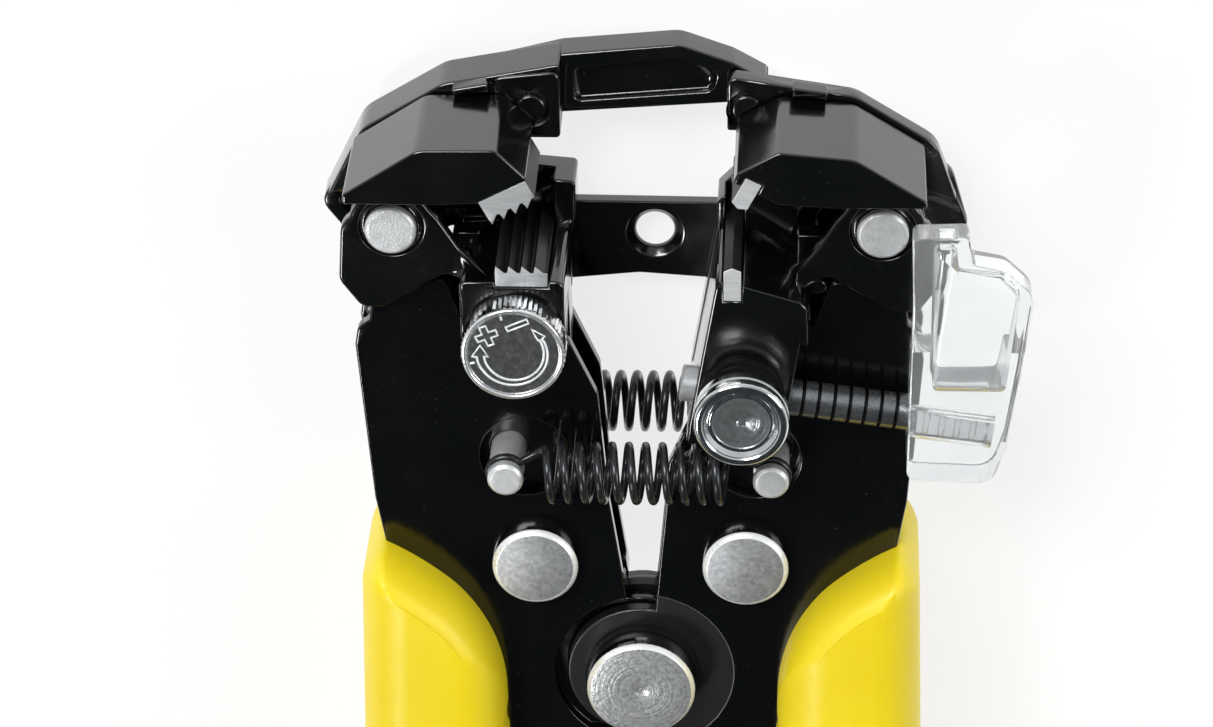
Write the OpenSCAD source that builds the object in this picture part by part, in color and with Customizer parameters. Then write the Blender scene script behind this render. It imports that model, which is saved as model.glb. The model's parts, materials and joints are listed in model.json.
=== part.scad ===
// Wire stripping pliers with two swinging arms and two closing upper jaws.
// Drawn with the arms pulled apart and the upper jaws open. The grips point along -Y and the
// mouths open towards +Y and +Z. Both sides are drawn on the right and the left one is mirrored.

/* [Linkage] */
// Sideways distance of an arm rivet from the main pivot
arm_rivet_x = 10; // [9.7:0.1:10.3]
// Height of an arm rivet above the main pivot
arm_rivet_y = 13; // [12.7:0.1:13.3]
// Sideways distance of a jaw rivet from the main pivot
jaw_rivet_x = 22.4; // [22.1:0.1:22.7]
// Height of a jaw rivet above the main pivot
jaw_rivet_y = 49.6; // [49.3:0.1:49.9]
// Distance of a drive pin below its jaw rivet
drive_drop = 6; // [5.8:0.1:6.4]
// Turn of an arm on its lever from open to closed jaws
arm_turn = 8.5; // [8:0.1:9]
// Turn of an upper jaw on its arm from open to closed
jaw_turn = 27.5; // [27:0.1:28]
// Turn of a lever from open to closed jaws
lever_turn = 6; // [5.5:0.1:6.5]

/* [Layers] */
// Half the thickness of an arm's shank
shank_half = 2.1; // [2:0.1:2.3]
// Thickness of a lever plate
plate_t = 1.4; // [1.2:0.05:1.5]
// Clearance between plates that turn on each other
layer_gap = 0.1; // [0.05:0.01:0.15]
// Clearance between the castings and the moving plates
cast_gap = 0.3; // [0.2:0.05:0.4]
// Front face of the arm castings above the mid-plane
cast_front = 8.4; // [8.2:0.1:8.6]
// Rear face of the left arm casting behind the mid-plane
cast_rear = 7.3; // [7.2:0.05:7.4]
// Thickness of an ear
ear_t = 1.5; // [1.3:0.1:1.7]

/* [Rivets] */
// Radius of the main pivot's shank
pivot_r = 3.2; // [3:0.1:3.4]
// Radius of the main pivot's heads
pivot_head_r = 5.2; // [5:0.1:5.4]
// Radius of an arm rivet's shank
arm_rivet_r = 2.6; // [2.4:0.1:2.8]
// Radius of an arm rivet's heads
arm_head_r = 4.08; // [3.9:0.02:4.2]
// Radius of a jaw rivet's shank
jaw_rivet_r = 1.6; // [1.4:0.1:1.7]
// Radius of a jaw rivet's heads
jaw_head_r = 2.37; // [2.2:0.01:2.5]
// Radius of a drive pin
drive_pin_r = 1.2; // [1.1:0.05:1.25]
// Radial clearance of a running fit
run_fit = 0.05; // [0.03:0.01:0.08]
// Radial clearance of a fixed fit
fixed_fit = 0.02; // [0.01:0.01:0.03]

/* [Springs] */
// Sideways distance of a spring post from the middle
post_x = 12.4; // [12.2:0.1:12.6]
// Height of the spring posts above the main pivot
post_y = 24.4; // [24.2:0.1:24.6]
// Radius of a spring post's head
post_head_r = 1.68; // [1.6:0.02:1.8]
// Height of the springs' axes in front of and behind the mid-plane
spring_z = 6.7; // [6.65:0.05:6.75]
// Outer radius of the coils
coil_r = 3; // [2.8:0.05:3]
// Thickness of the spring wire
wire_d = 0.8; // [0.7:0.05:0.8]
// Number of turns in a spring
coil_turns = 11; // [9:1:12]

/* [Grips] */
// Length of the grips below the main pivot
grip_reach = 142; // [135:1:150]
// Half the width of a grip
grip_half_w = 7; // [6.8:0.1:7.3]
// Half the thickness of a grip
grip_half_t = 9.8; // [9.7:0.05:10]
// Edge radius of a grip
grip_edge_r = 5; // [4.5:0.1:5.5]

/* [Controls] */
// Radius of the tension knob
knob_r = 4.82; // [4.6:0.02:5]
// Height of the tension knob
knob_h = 3.1; // [2.8:0.1:3.3]
// Radius of the push button
button_r = 4.37; // [4.2:0.01:4.5]
// Radius of the stop's rod
rod_r = 1.7; // [1.5:0.05:1.8]

/* [Hidden] */
$fn = 64;

// Places of the rivets and pins on the right side
arm_rivet = [arm_rivet_x, arm_rivet_y];
jaw_rivet = [jaw_rivet_x, jaw_rivet_y];
drive_pin = jaw_rivet + [0.2, -drive_drop];
post = [post_x, post_y];

// Layers away from the mid-plane
plate_in = shank_half + layer_gap;
plate_out = plate_in + plate_t;
hub_out = plate_in - layer_gap;
hub_in = hub_out - plate_t;
spacer_half = hub_in - layer_gap;
washer_in = plate_out + layer_gap;
washer_out = washer_in + 0.6;
pivot_head_in = washer_out + layer_gap;
pivot_top = 7;
cheek_in = plate_out + cast_gap;
ear_front = cheek_in + ear_t;
jaw_half = shank_half - layer_gap;
jaw_back = -jaw_half;
jaw_front = cheek_in - 0.2;
frame_front = jaw_back - cast_gap;

// Hub discs and the lever's step round them
right_disc_r = 7.2;
left_disc_r = 7.6;
step_in_r = 8.4;
step_out_r = 10.4;
spacer_r = 8.2;

// The whole tool lies on the grips' rear flats, with its length centred
roof_top = 63.4;
frame_shift = [0, (grip_reach - roof_top) / 2, grip_half_t];

// Turns point p about centre c by a degrees
function turned(p, c, a) = [
    c.x + (p.x - c.x) * cos(a) - (p.y - c.y) * sin(a),
    c.y + (p.x - c.x) * sin(a) + (p.y - c.y) * cos(a)];

function unit(v) = v / norm(v);

// Points of one corner at b between a and c, rounded with radius r
function corner(a, b, c, r, steps = 4) =
    r == 0 ? [b] :
    let (u = unit(a - b), w = unit(c - b), half = acos(u * w) / 2,
        m = b + unit(u + w) * r / sin(half), s = b + u * r / tan(half) - m,
        e = b + w * r / tan(half) - m, from = atan2(s.y, s.x), raw = atan2(e.y, e.x) - from,
        sweep = raw > 180 ? raw - 360 : raw < -180 ? raw + 360 : raw)
    [for (i = [0:steps]) m + r * [cos(from + sweep * i / steps), sin(from + sweep * i / steps)]];

// Outline from [x, y, corner radius] points
function rounded(p) = [for (i = [0:len(p) - 1])
    each corner([p[(i + len(p) - 1) % len(p)].x, p[(i + len(p) - 1) % len(p)].y], [p[i].x, p[i].y],
        [p[(i + 1) % len(p)].x, p[(i + 1) % len(p)].y], p[i][2])];

// Solid between two heights over an outline
module slab(outline, low, high) {
    translate([0, 0, low]) linear_extrude(high - low) polygon(outline);
}

module disc(centre, r, low, high) {
    translate([centre.x, centre.y, low]) cylinder(r = r, h = high - low);
}

// Chamfered revolved pin: shank radius, head radius, heads beyond low and high
module headed_pin(centre, r, head_r, low, high, head_t, edge) {
    translate([centre.x, centre.y, 0]) rotate_extrude() polygon([
        [0, low - head_t], [head_r - edge, low - head_t], [head_r, low - head_t + edge],
        [head_r, low], [r, low], [r, high], [head_r, high], [head_r, high + head_t - edge],
        [head_r - edge, high + head_t], [0, high + head_t]]);
}

// Puts children, drawn about the main pivot on the right, into the tool's frame
module right_side() { translate(frame_shift) children(); }
module left_side() { translate(frame_shift) mirror([1, 0, 0]) children(); }
module rear_side() { mirror([0, 0, 1]) children(); }

// Turns a shape drawn with the jaws shut back to the open jaw
module from_shut_jaw() {
    translate([jaw_rivet.x, jaw_rivet.y, 0]) rotate([0, 0, -jaw_turn])
        translate([-jaw_rivet.x, -jaw_rivet.y, 0]) children();
}

// Lever plates, with their tangs inside the grips
tang_end = 112;
bar_end = 46;
function grip_x(y) = 20 + (y < -5 ? 0.0072 * pow(-5 - y, 1.6) : 0);
tang = [for (y = [-bar_end - 12:-12:-tang_end]) [grip_x(y), y]];
tang_half = 4;

lever_crown = 39.2;
lever_outer = concat(
    [[16.2, 38.5, 0.5], [17.9, 43.8, 1], [20.8, 42, 0.8], [26.1, 38, 1.2], [26.4, 36.2, 0.8],
        [25.2, 19.5, 3], [23.9, 12, 3], [23.8, -8, 6], [25.6, -bar_end, 2]],
    [for (p = tang) [p.x + tang_half, p.y, 0]],
    [for (i = [len(tang) - 1:-1:0]) [tang[i].x - tang_half, tang[i].y, 0]],
    [[15, -bar_end - 6, 3], [6.6, -bar_end, 1], [2.4, -9, 0]]);
left_lever_outline = rounded(concat(lever_outer,
    [[1.4, 8.5, 0], [2.9, 18.9, 1], [3.9, 30.9, 2], [6.4, 36.6, 2], [8.8, lever_crown - 0.2, 1], [11, lever_crown, 0]]));
right_lever_outline = rounded(concat(lever_outer,
    [[1.3, 7.2, 0], [2.5, 20.1, 1], [4.3, 24.3, 1], [8.7, 26.6, 1.5], [9.6, lever_crown - 0.4, 1], [11, lever_crown, 0]]));

// Hole in a lever plate that the spring post moves in
post_hole = [10.9, 24.2];
post_hole_r = 4.2;
lug_r = 1.8;

bar_rivets = [[7.8, -15.5], [10.2, -30.5], [12.4, -42]];
bar_rivet_r = 1.3;

module lever_holes() {
    disc(arm_rivet, arm_rivet_r + fixed_fit, 0, pivot_top);
    disc(drive_pin, drive_pin_r + fixed_fit, 0, pivot_top);
    disc(post_hole, post_hole_r, 0, pivot_top);
    disc([0, 0], pivot_r + run_fit, -1, pivot_top);
    for (p = bar_rivets) disc(p, bar_rivet_r + fixed_fit, 0, pivot_top);
}

module drive_lug() {
    disc(drive_pin, lug_r, plate_in, plate_out);
    slab([[20.6, 41.5], [25, 38.6], drive_pin + [lug_r, 0], drive_pin - [lug_r, 0]], plate_in, plate_out);
}

// The left plate steps in under the right hub disc
module left_lever_plate() {
    difference() {
        union() {
            difference() {
                slab(left_lever_outline, plate_in, plate_out);
                disc([0, 0], step_in_r, plate_in - 1, plate_out + 1);
            }
            intersection() {
                slab(left_lever_outline, hub_in, plate_in);
                disc([0, 0], step_out_r, hub_in - 1, plate_out);
            }
            intersection() {
                slab(left_lever_outline, hub_in, hub_out);
                disc([0, 0], step_out_r, hub_in - 1, plate_out);
            }
            disc([0, 0], left_disc_r, hub_in, hub_out);
            drive_lug();
        }
        disc([0, 0], step_in_r, hub_out, plate_out + 1);
        lever_holes();
    }
}

module right_lever_plate() {
    difference() {
        union() {
            slab(right_lever_outline, plate_in, plate_out);
            disc([0, 0], right_disc_r, plate_in, plate_out);
            drive_lug();
        }
        lever_holes();
    }
}

module left_lever_front() { color("#16181a") left_side() left_lever_plate(); }
module left_lever_rear() { color("#16181a") left_side() rear_side() left_lever_plate(); }
module right_lever_front() { color("#1b1c1e") right_side() right_lever_plate(); }
module right_lever_rear() { color("#1b1c1e") right_side() rear_side() right_lever_plate(); }

// Moulded grip, lofted along its curved centreline and cut flat at the rear
grip_top = 17;
grip_rings = 28;
grip_sides = 28;
function grip_y(i) = let (f = i / grip_rings) grip_top - (grip_top + grip_reach) * (1 - pow(1 - f, 1.3));
function grip_end_scale(y) = let (d = max(0, 7 - (y + grip_reach)) / 7) max(0.3, sqrt(1 - d * d));
function grip_swell(y) = 0.35 * cos((y + 20) * 3.2) + 0.45 * sin((-y - 30) * 1.4);
function grip_section(y) =
    let (s = grip_end_scale(y), a = (grip_half_w + grip_swell(y)) * s, b = (grip_half_t + 0.2) * (0.45 + 0.55 * s),
        r = min(grip_edge_r, a - 0.5))
    [for (k = [0:grip_sides - 1]) let (q = (k + 0.5) * 360 / grip_sides,
        sx = cos(q) > 0 ? 1 : -1, sz = sin(q) > 0 ? 1 : -1)
        [grip_x(y) + sx * (a - r) + r * cos(q), y, sz * (b - r) + r * sin(q)]];

module grip_body() {
    rings = [for (i = [0:grip_rings]) grip_section(grip_y(i))];
    n = grip_sides;
    polyhedron(points = [for (g = rings) each g], faces = concat(
        [for (i = [0:grip_rings - 1]) for (k = [0:n - 1]) each [
            [i * n + k, i * n + (k + 1) % n, (i + 1) * n + (k + 1) % n],
            [i * n + k, (i + 1) * n + (k + 1) % n, (i + 1) * n + k]]],
        [[for (k = [n - 1:-1:0]) k], [for (k = [0:n - 1]) grip_rings * n + k]]));
}

// Curved upper edge of the grip, where the plates come out of it, rounded over at front and rear
grip_mouth = [[31, 4], [27.4, 9.8], [26, 13], [24.7, 14.6], [23.4, 14.2], [20.9, 12.6], [18.3, 10.5],
    [16.6, 8.6], [15.1, 6.2], [14, 3.6], [13.3, 0.6], [13.05, -2.6], [13, -6], [10, -9.5]];
grip_mouth_front = [[31, 1.5], [26.4, 8.4], [24.9, 10.7], [24, 11.6], [22.9, 11.3], [21, 10], [19, 8.2],
    [17.6, 6.4], [16.4, 4.2], [15.5, 1.8], [14.9, -1], [14.7, -3.8], [14.6, -6.8], [11, -11]];
mouth_round = 5;
mouth_steps = 5;
function mouth_level(z) = let (f = max(0, abs(z) - grip_half_t + mouth_round) / mouth_round,
    share = 1 - sqrt(max(0, 1 - f * f)))
    concat([for (i = [0:len(grip_mouth) - 1]) let (p = grip_mouth[i] + share * (grip_mouth_front[i] - grip_mouth[i]))
        [p.x, p.y, z]],
        [[0, -11, z], [0, 40, z], [50, 40, z], [50, 1.5, z]]);
mouth_heights = concat([-grip_half_t - 2], [for (i = [mouth_steps:-1:0]) -grip_half_t + mouth_round - mouth_round * i / mouth_steps],
    [for (i = [0:mouth_steps]) grip_half_t - mouth_round + mouth_round * i / mouth_steps], [grip_half_t + 2]);
module mouth_cutter() {
    levels = [for (z = mouth_heights) mouth_level(z)];
    n = len(levels[0]);
    last = len(levels) - 1;
    polyhedron(points = [for (g = levels) each g], faces = concat(
        [for (i = [0:last - 1]) for (k = [0:n - 1]) each [
            [i * n + k, i * n + (k + 1) % n, (i + 1) * n + (k + 1) % n],
            [i * n + k, (i + 1) * n + (k + 1) % n, (i + 1) * n + k]]],
        [[for (k = [n - 1:-1:0]) k], [for (k = [0:n - 1]) last * n + k]]));
}

module grip() {
    difference() {
        grip_body();
        translate([0, -grip_reach - 5, -grip_half_t - 5]) cube([60, grip_reach + 40, 5]);
        mouth_cutter();
        slab(left_lever_outline, -plate_out - fixed_fit, plate_out + fixed_fit);
    }
}
module left_grip() { color("#f5dc2d") left_side() grip(); }
module right_grip() { color("#f5dc2d") right_side() grip(); }

// Crimping bars between the plates, drawn shut and swung open with the lever
bar_half = 2;
bar_gap = 0.15;
die_radii = [1.6, 2.2, 2.9];
module crimp_bar() {
    difference() {
        rotate([0, 0, lever_turn]) difference() {
            slab(rounded([[bar_gap, -11.6, 0.4], [5.5, -12.2, 1.5], [8.2, -bar_end + 1, 1],
                [bar_gap, -bar_end, 0.6]]), -bar_half, bar_half);
            for (i = [0:len(die_radii) - 1]) disc([0, -21.5 - 8 * i], die_radii[i], -bar_half - 1, bar_half + 1);
            slab([[bar_gap - 1, -16.8], [bar_gap + 1.6, -15.2], [bar_gap - 1, -13.6]], -bar_half - 1, bar_half + 1);
        }
        for (p = bar_rivets) disc(p, bar_rivet_r + fixed_fit, -bar_half - 1, bar_half + 1);
    }
}
module bar_rivet_set() {
    for (p = bar_rivets) headed_pin(p, bar_rivet_r, bar_rivet_r + 0.9, -plate_out, plate_out, 0.6, 0.2);
}
module left_crimp_bar() { color("#9b9fa3") left_side() crimp_bar(); }
module right_crimp_bar() { color("#9b9fa3") right_side() crimp_bar(); }
module left_bar_rivets() { color("#b9bcbf") left_side() bar_rivet_set(); }
module right_bar_rivets() { color("#b9bcbf") right_side() bar_rivet_set(); }

// Main pivot
module pivot_rivet() {
    color("#c4c6c8") right_side() difference() {
        headed_pin([0, 0], pivot_r, pivot_head_r, -pivot_head_in, pivot_head_in, pivot_top - pivot_head_in, 0.4);
        translate([0, 0, pivot_top + 1.4]) sphere(r = 2.2);
    }
}
module hub_spacer() {
    color("#2a2c2e") right_side() difference() {
        disc([0, 0], spacer_r, -spacer_half, spacer_half);
        disc([0, 0], pivot_r + fixed_fit, -spacer_half - 1, spacer_half + 1);
    }
}
module thrust_washer() {
    difference() {
        disc([0, 0], pivot_head_r + 0.3, washer_in, washer_out);
        disc([0, 0], pivot_r + fixed_fit, washer_in - 1, washer_out + 1);
    }
}
module front_washer() { color("#1a1b1c") right_side() thrust_washer(); }
module rear_washer() { color("#1a1b1c") right_side() rear_side() thrust_washer(); }

// Rivets that carry the arms, pins that drive the jaws
module arm_rivet_pin() {
    headed_pin(arm_rivet, arm_rivet_r, arm_head_r, -plate_out, plate_out, 2, 0.4);
}
module jaw_drive_pin() {
    disc(drive_pin, drive_pin_r, -plate_out, plate_out);
}
module left_arm_rivet() { color("#c4c6c8") left_side() arm_rivet_pin(); }
module right_arm_rivet() { color("#c4c6c8") right_side() arm_rivet_pin(); }
module left_drive_pin() { color("#b9bcbf") left_side() jaw_drive_pin(); }
module right_drive_pin() { color("#b9bcbf") right_side() jaw_drive_pin(); }

// Spring posts with a groove for the spring's hook
post_groove_r = 1.1;
module post_pin() {
    translate([post.x, post.y, 0]) rotate_extrude() polygon([
        [0, -spring_z - 1.7], [post_head_r - 0.3, -spring_z - 1.7], [post_head_r, -spring_z - 1.4],
        [post_head_r, -spring_z - 0.6], [post_groove_r, -spring_z - 0.4], [post_groove_r, -spring_z + 0.4],
        [post_head_r, -spring_z + 0.6], [post_head_r, spring_z - 0.6], [post_groove_r, spring_z - 0.4],
        [post_groove_r, spring_z + 0.4], [post_head_r, spring_z + 0.6], [post_head_r, spring_z + 1.4],
        [post_head_r - 0.3, spring_z + 1.7], [0, spring_z + 1.7]]);
}
module left_spring_post() { color("#b9bcbf") left_side() post_pin(); }
module right_spring_post() { color("#b9bcbf") right_side() post_pin(); }

// Hooked extension spring swept along its own line: coils, then a hook round each post
spring_sides = 6;
coil_steps = 12;
coil_mid_r = coil_r - wire_d / 2;
coil_half = 8.6;
hook_r = post_groove_r + wire_d / 2 + 0.1;
function coil_point(t) = [-coil_half + 2 * coil_half * t,
    post.y + coil_mid_r * cos(360 * coil_turns * t), coil_mid_r * sin(360 * coil_turns * t)];
function hook_point(a) = [post.x + hook_r * cos(a), post.y + hook_r * sin(a), 0];
right_hook = concat([[coil_half + 1, post.y + coil_mid_r * 0.75, 0.3]],
    [for (a = [100:-32:-156]) hook_point(a)]);
function mirrored(p) = [-p.x, p.y, -p.z];
spring_line = concat([for (i = [len(right_hook) - 1:-1:0]) mirrored(right_hook[i])],
    [for (i = [0:coil_turns * coil_steps]) coil_point(i / (coil_turns * coil_steps))], right_hook);

function ring_about(p, d, r, n) = let (side = unit(cross(d, [0.05, 0.08, 1])), up = cross(side, d))
    [for (k = [0:n - 1]) p + r * (cos(360 * k / n) * side + sin(360 * k / n) * up)];
module swept_wire(line, r, n) {
    last = len(line) - 1;
    points = [for (i = [0:last]) each ring_about(line[i],
        unit(line[min(i + 1, last)] - line[max(i - 1, 0)]), r, n)];
    polyhedron(points = points, faces = concat(
        [for (i = [0:last - 1]) for (k = [0:n - 1]) each [
            [i * n + k, (i + 1) * n + k, (i + 1) * n + (k + 1) % n],
            [i * n + k, (i + 1) * n + (k + 1) % n, i * n + (k + 1) % n]]],
        [[for (k = [0:n - 1]) k], [for (k = [n - 1:-1:0]) last * n + k]]));
}
module arm_spring() { translate([0, 0, spring_z]) swept_wire(spring_line, wire_d / 2, spring_sides); }
module front_spring() { color("#8f9396") right_side() arm_spring(); }
module rear_spring() { color("#8f9396") right_side() rear_side() arm_spring(); }

// Arm castings. Each has a shank between the lever plates, a full-depth block with the lower part
// of the mouth, cheeks over the lever plates, an ear at the front and a frame at the rear
arm_eye_r = 4.6;
block_clear_r = norm([11, lever_crown] - arm_rivet) + 0.68;
mouth_y = 47.2;
frame_wall = 1.5;
right_rear = cast_rear - 0.2;
right_frame_back = frame_front - 2;
beam_back = -8.1;
beam_front = right_frame_back - cast_gap;

function arm_arc(from, to, steps = 6) = [for (i = [0:steps]) let (a = from + (to - from) * i / steps)
    arm_rivet + block_clear_r * [cos(a), sin(a)]];

ear_boss_r = 3.9;
ear_outline = rounded([[14.5, 43.2, 0], [17.5, 44.9, 1], [23.5, 41.2, 1], [25.4, 41.2, 1.2],
    [27.4, 44, 1.5], [27, 50, 2], [24, 52, 1.5], [19.6, 52.2, 1.2], [18.1, 50.4, 1.5], [16.4, 47.6, 0.8],
    [14.5, 45.2, 0]]);
module ear(low, high) {
    slab(ear_outline, low, high);
    disc(jaw_rivet, ear_boss_r, low, high);
}
// Room in the rear frames for the rear lever plates and their lugs
module rear_plate_room() {
    difference() {
        slab([[16.4, 37], [33, 37], [33, 47.6], [26.6, 49.6], [18.2, 49.6], [16.4, 47]], -cheek_in, frame_front + 1);
        disc(jaw_rivet, ear_boss_r, -cheek_in - 1, frame_front + 2);
    }
}
// Ring groove cut into a face
module ring_groove(centre, r, width, face, depth) {
    difference() {
        disc(centre, r + width, face - depth, face + 1);
        disc(centre, r, face - depth - 1, face + 2);
    }
}
module jaw_rivet_bore(fit) { disc(jaw_rivet, jaw_rivet_r + fit, -pivot_top - 2, pivot_top + 2); }

// Lower insert in the left mouth
insert_from = 8;
insert_to = 12.8;
insert_depth = 2.1;
insert_foot = mouth_y - insert_depth;
insert_back = -5;
insert_front = cast_front - 0.2;
tooth_pitch = 1.2;
tooth_h = 0.7;
tooth_lean = 0.95;
tooth_count = round((insert_to - insert_from) / tooth_pitch);
function tooth_row(base, tip) = [for (i = [0:tooth_count - 1]) each [
    [insert_from + (i == 0 ? 0 : i + 0.06) * tooth_pitch, base],
    [insert_from + (i + 0.3) * tooth_pitch, base],
    [insert_from + (i + tooth_lean) * tooth_pitch, tip]]];

// Knob and bridge screws on the left arm
knob_place = [11.1, 39.9];
stud_r = 1.5;
stud_low = 5;
bridge_screw_places = [[9.4, 41.2], [13.6, 41.6]];
bridge_screw_r = 1;
bridge_screw_depth = 2.4;

left_arm_rim = rounded([[14.5, 43.6, 0], [17.5, 44.9, 1], [23.5, 41.2, 1], [25.4, 41.2, 1.2],
    [29.8, 47.2, 1.5], [25.6, 55.7, 3], [17.9, 60.4, 3], [7.2, 62.4, 0], [7.2, 55, 0.5], [13.1, 55, 0.5],
    [13.1, 53.4, 0.5], [10.4, 50.8, 0.4], [5.9, 50.4, 0.5], [6, 46.8, 0.4], [6.6, 44, 0]]);
left_arm_hollow = rounded([[24.8, 43.4, 1], [28.1, 47.3, 1], [24.4, 54.6, 2], [17.3, 58.8, 2],
    [14.8, 59.2, 0.6], [14.8, 53, 0.6], [12.2, 49.6, 1], [12.4, 47, 1], [18, 46.6, 1]]);
left_beam = rounded([[12.6, 56, 0], [12.6, 61, 0], [7.2, 62.4, 1], [-3.7, roof_top, 0], [-8.6, 61.6, 1],
    [-12.4, 59.4, 0.5], [-8.1, 57.5, 1]]);
left_beam_panel = rounded([[6, 57.6, 0.6], [6, 60.9, 0.6], [-3.4, 61.9, 0.8], [-7.2, 60.6, 0.8], [-6.6, 58.7, 0.6]]);

// Ejector boss on each end plate, and a small tab on each roof's front edge
boss_place = [9.9, 57.9];
boss_r = 1.4;
tab_proud = 1.4;
left_tab = [[13.6, 60.1, 0.2], [16.9, 59.9, 0.2], [17, 60.5, 0.2], [13.7, 61.1, 0.2]];
right_tab = [[14, 59.9, 0.2], [17.2, 59.6, 0.2], [17.3, 60.4, 0.2], [14, 60.9, 0.2]];

module left_arm_casting() {
    difference() {
        union() {
            disc(arm_rivet, arm_eye_r, -shank_half, shank_half);
            slab(rounded([[5.6, 13, 0], [5.9, 24, 2], [6.6, 44, 0], [15.8, 44, 0], [16.2, 36, 2],
                [15.2, 22, 2], [14.4, 13, 0]]), -shank_half, shank_half);
            slab(concat([[16.1, 45.4], [15.5, 45.6], [6.9, 45.7], [6.5, 45.2]], arm_arc(97.4, 77)),
                -cast_rear, cast_front);
            for (z = [[-cast_rear, -cheek_in], [cheek_in, cast_front]])
                slab(rounded([[6.5, 37.2, 1.2], [6.5, 42, 0], [16.1, 42, 0], [16.1, 38.6, 1.6]]), z[0], z[1]);
            ear(cheek_in, ear_front);
            slab(left_arm_rim, -cast_rear, frame_front);
            slab(left_beam, beam_back, beam_front);
            slab(rounded([[7.2, 55, 0.4], [13.3, 55, 0.4], [13.3, 61.1, 0.8], [7.2, 61.8, 0.8]]),
                beam_front - 0.5, jaw_back - layer_gap);
            slab(rounded(left_tab), frame_front - 0.5, frame_front + tab_proud);
        }
        difference() {
            slab(left_arm_hollow, -cast_rear + frame_wall, frame_front + 1);
            disc(jaw_rivet, ear_boss_r, -cast_rear, frame_front + 2);
        }
        rear_plate_room();
        slab(left_beam_panel, beam_front - 1.2, beam_front + 1);
        disc(arm_rivet, arm_rivet_r + run_fit, -shank_half - 1, shank_half + 1);
        disc(post, post_head_r + fixed_fit, -shank_half - 1, shank_half + 1);
        jaw_rivet_bore(fixed_fit);
        disc(knob_place, stud_r + fixed_fit, stud_low, cast_front + 1);
        for (p = bridge_screw_places)
            disc(p, bridge_screw_r + fixed_fit, -cast_rear - 1, -cast_rear + bridge_screw_depth);
        ring_groove(jaw_rivet, jaw_head_r + 0.05, 0.5, ear_front, 0.35);
        ring_groove(boss_place, boss_r, 0.25, jaw_back - layer_gap, 0.25);
        translate([insert_from - fixed_fit, insert_foot - fixed_fit, insert_back - fixed_fit])
            cube([insert_to - insert_from + 2 * fixed_fit, 9, cast_front - insert_back + 1]);
    }
}
module left_arm() { color("#17191b") left_side() left_arm_casting(); }

module lower_grip_insert() {
    color("#d9dadb") left_side() slab(concat([[insert_from, insert_foot]],
        tooth_row(mouth_y - tooth_h, mouth_y), [[insert_to, mouth_y - tooth_h], [insert_to, insert_foot]]),
        insert_back, insert_front);
}

// Bridge behind the arms, screwed to the left one and sliding behind the right one
bridge_t = 1.4;
bridge_hole = [-1.2, 42.4];
bridge_hole_r = 1.8;
bridge_sink_r = 2.65;
module guide_bridge() {
    color("#1a1b1c") left_side() difference() {
        slab(rounded([[15.6, 45.9, 1.5], [15.8, 38.4, 1], [6.9, 37.4, 3], [0.3, 38.1, 6], [-6.3, 37.6, 3],
            [-11.8, 38.6, 1.2], [-12, 45.6, 1.2]]), -cast_rear - bridge_t, -cast_rear);
        disc(bridge_hole, bridge_hole_r, -cast_rear - bridge_t - 1, -cast_rear + 1);
        translate([bridge_hole.x, bridge_hole.y, -cast_rear - 0.8])
            cylinder(r1 = bridge_hole_r, r2 = bridge_sink_r + 0.01, h = 0.81);
        for (p = bridge_screw_places) disc(p, bridge_screw_r + fixed_fit, -cast_rear - bridge_t - 1, 0);
    }
}
module bridge_screws() {
    color("#8b8e91") left_side() for (p = bridge_screw_places) {
        disc(p, bridge_screw_r, -cast_rear - bridge_t, -cast_rear + bridge_screw_depth - 0.1);
        disc(p, bridge_screw_r + 0.9, -cast_rear - bridge_t - 0.6, -cast_rear - bridge_t);
    }
}

// Right arm with the blade's block and the length stop's rod bore
rod_z = 6.1;
rod_from = [4, 34];
rod_to = [25.3, 31];
rod_angle = atan2(rod_to.y - rod_from.y, rod_to.x - rod_from.x);
button_place = [9.7, 34];
button_stem_r = 1.5;
blade_from = 8;
blade_to = 9.6;
blade_depth = 3.4;
blade_foot = mouth_y - blade_depth;
blade_rise = 3.1;
blade_bevel = 0.35;
module along_rod() {
    translate([rod_from.x, rod_from.y, rod_z]) rotate([0, 0, rod_angle]) rotate([0, 90, 0]) children();
}
right_cheek = rounded([[7.4, 46.1, 1], [4.3, 28.1, 1.3], [13.9, 32.2, 1.5], [15.7, 43.6, 1.2]]);
right_arm_rim = rounded([[15, 43.2, 0], [17.5, 44.4, 1], [22.4, 40.8, 1], [25.4, 40.4, 1.2], [30.6, 44.9, 1.5],
    [27.3, 54.6, 3], [19.8, 59.4, 3], [8.1, 61.3, 0.8], [8.1, 55.1, 0.5], [13, 55.1, 0.5], [13, 50, 0],
    [10, 44, 0]]);
right_arm_shelf = rounded([[15, 43.2, 0], [17.5, 44.4, 1], [22.4, 40.8, 1], [25.4, 40.4, 1.2],
    [30.6, 44.9, 1.5], [28.7, 51.6, 2], [13, 51.6, 0]]);
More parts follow.
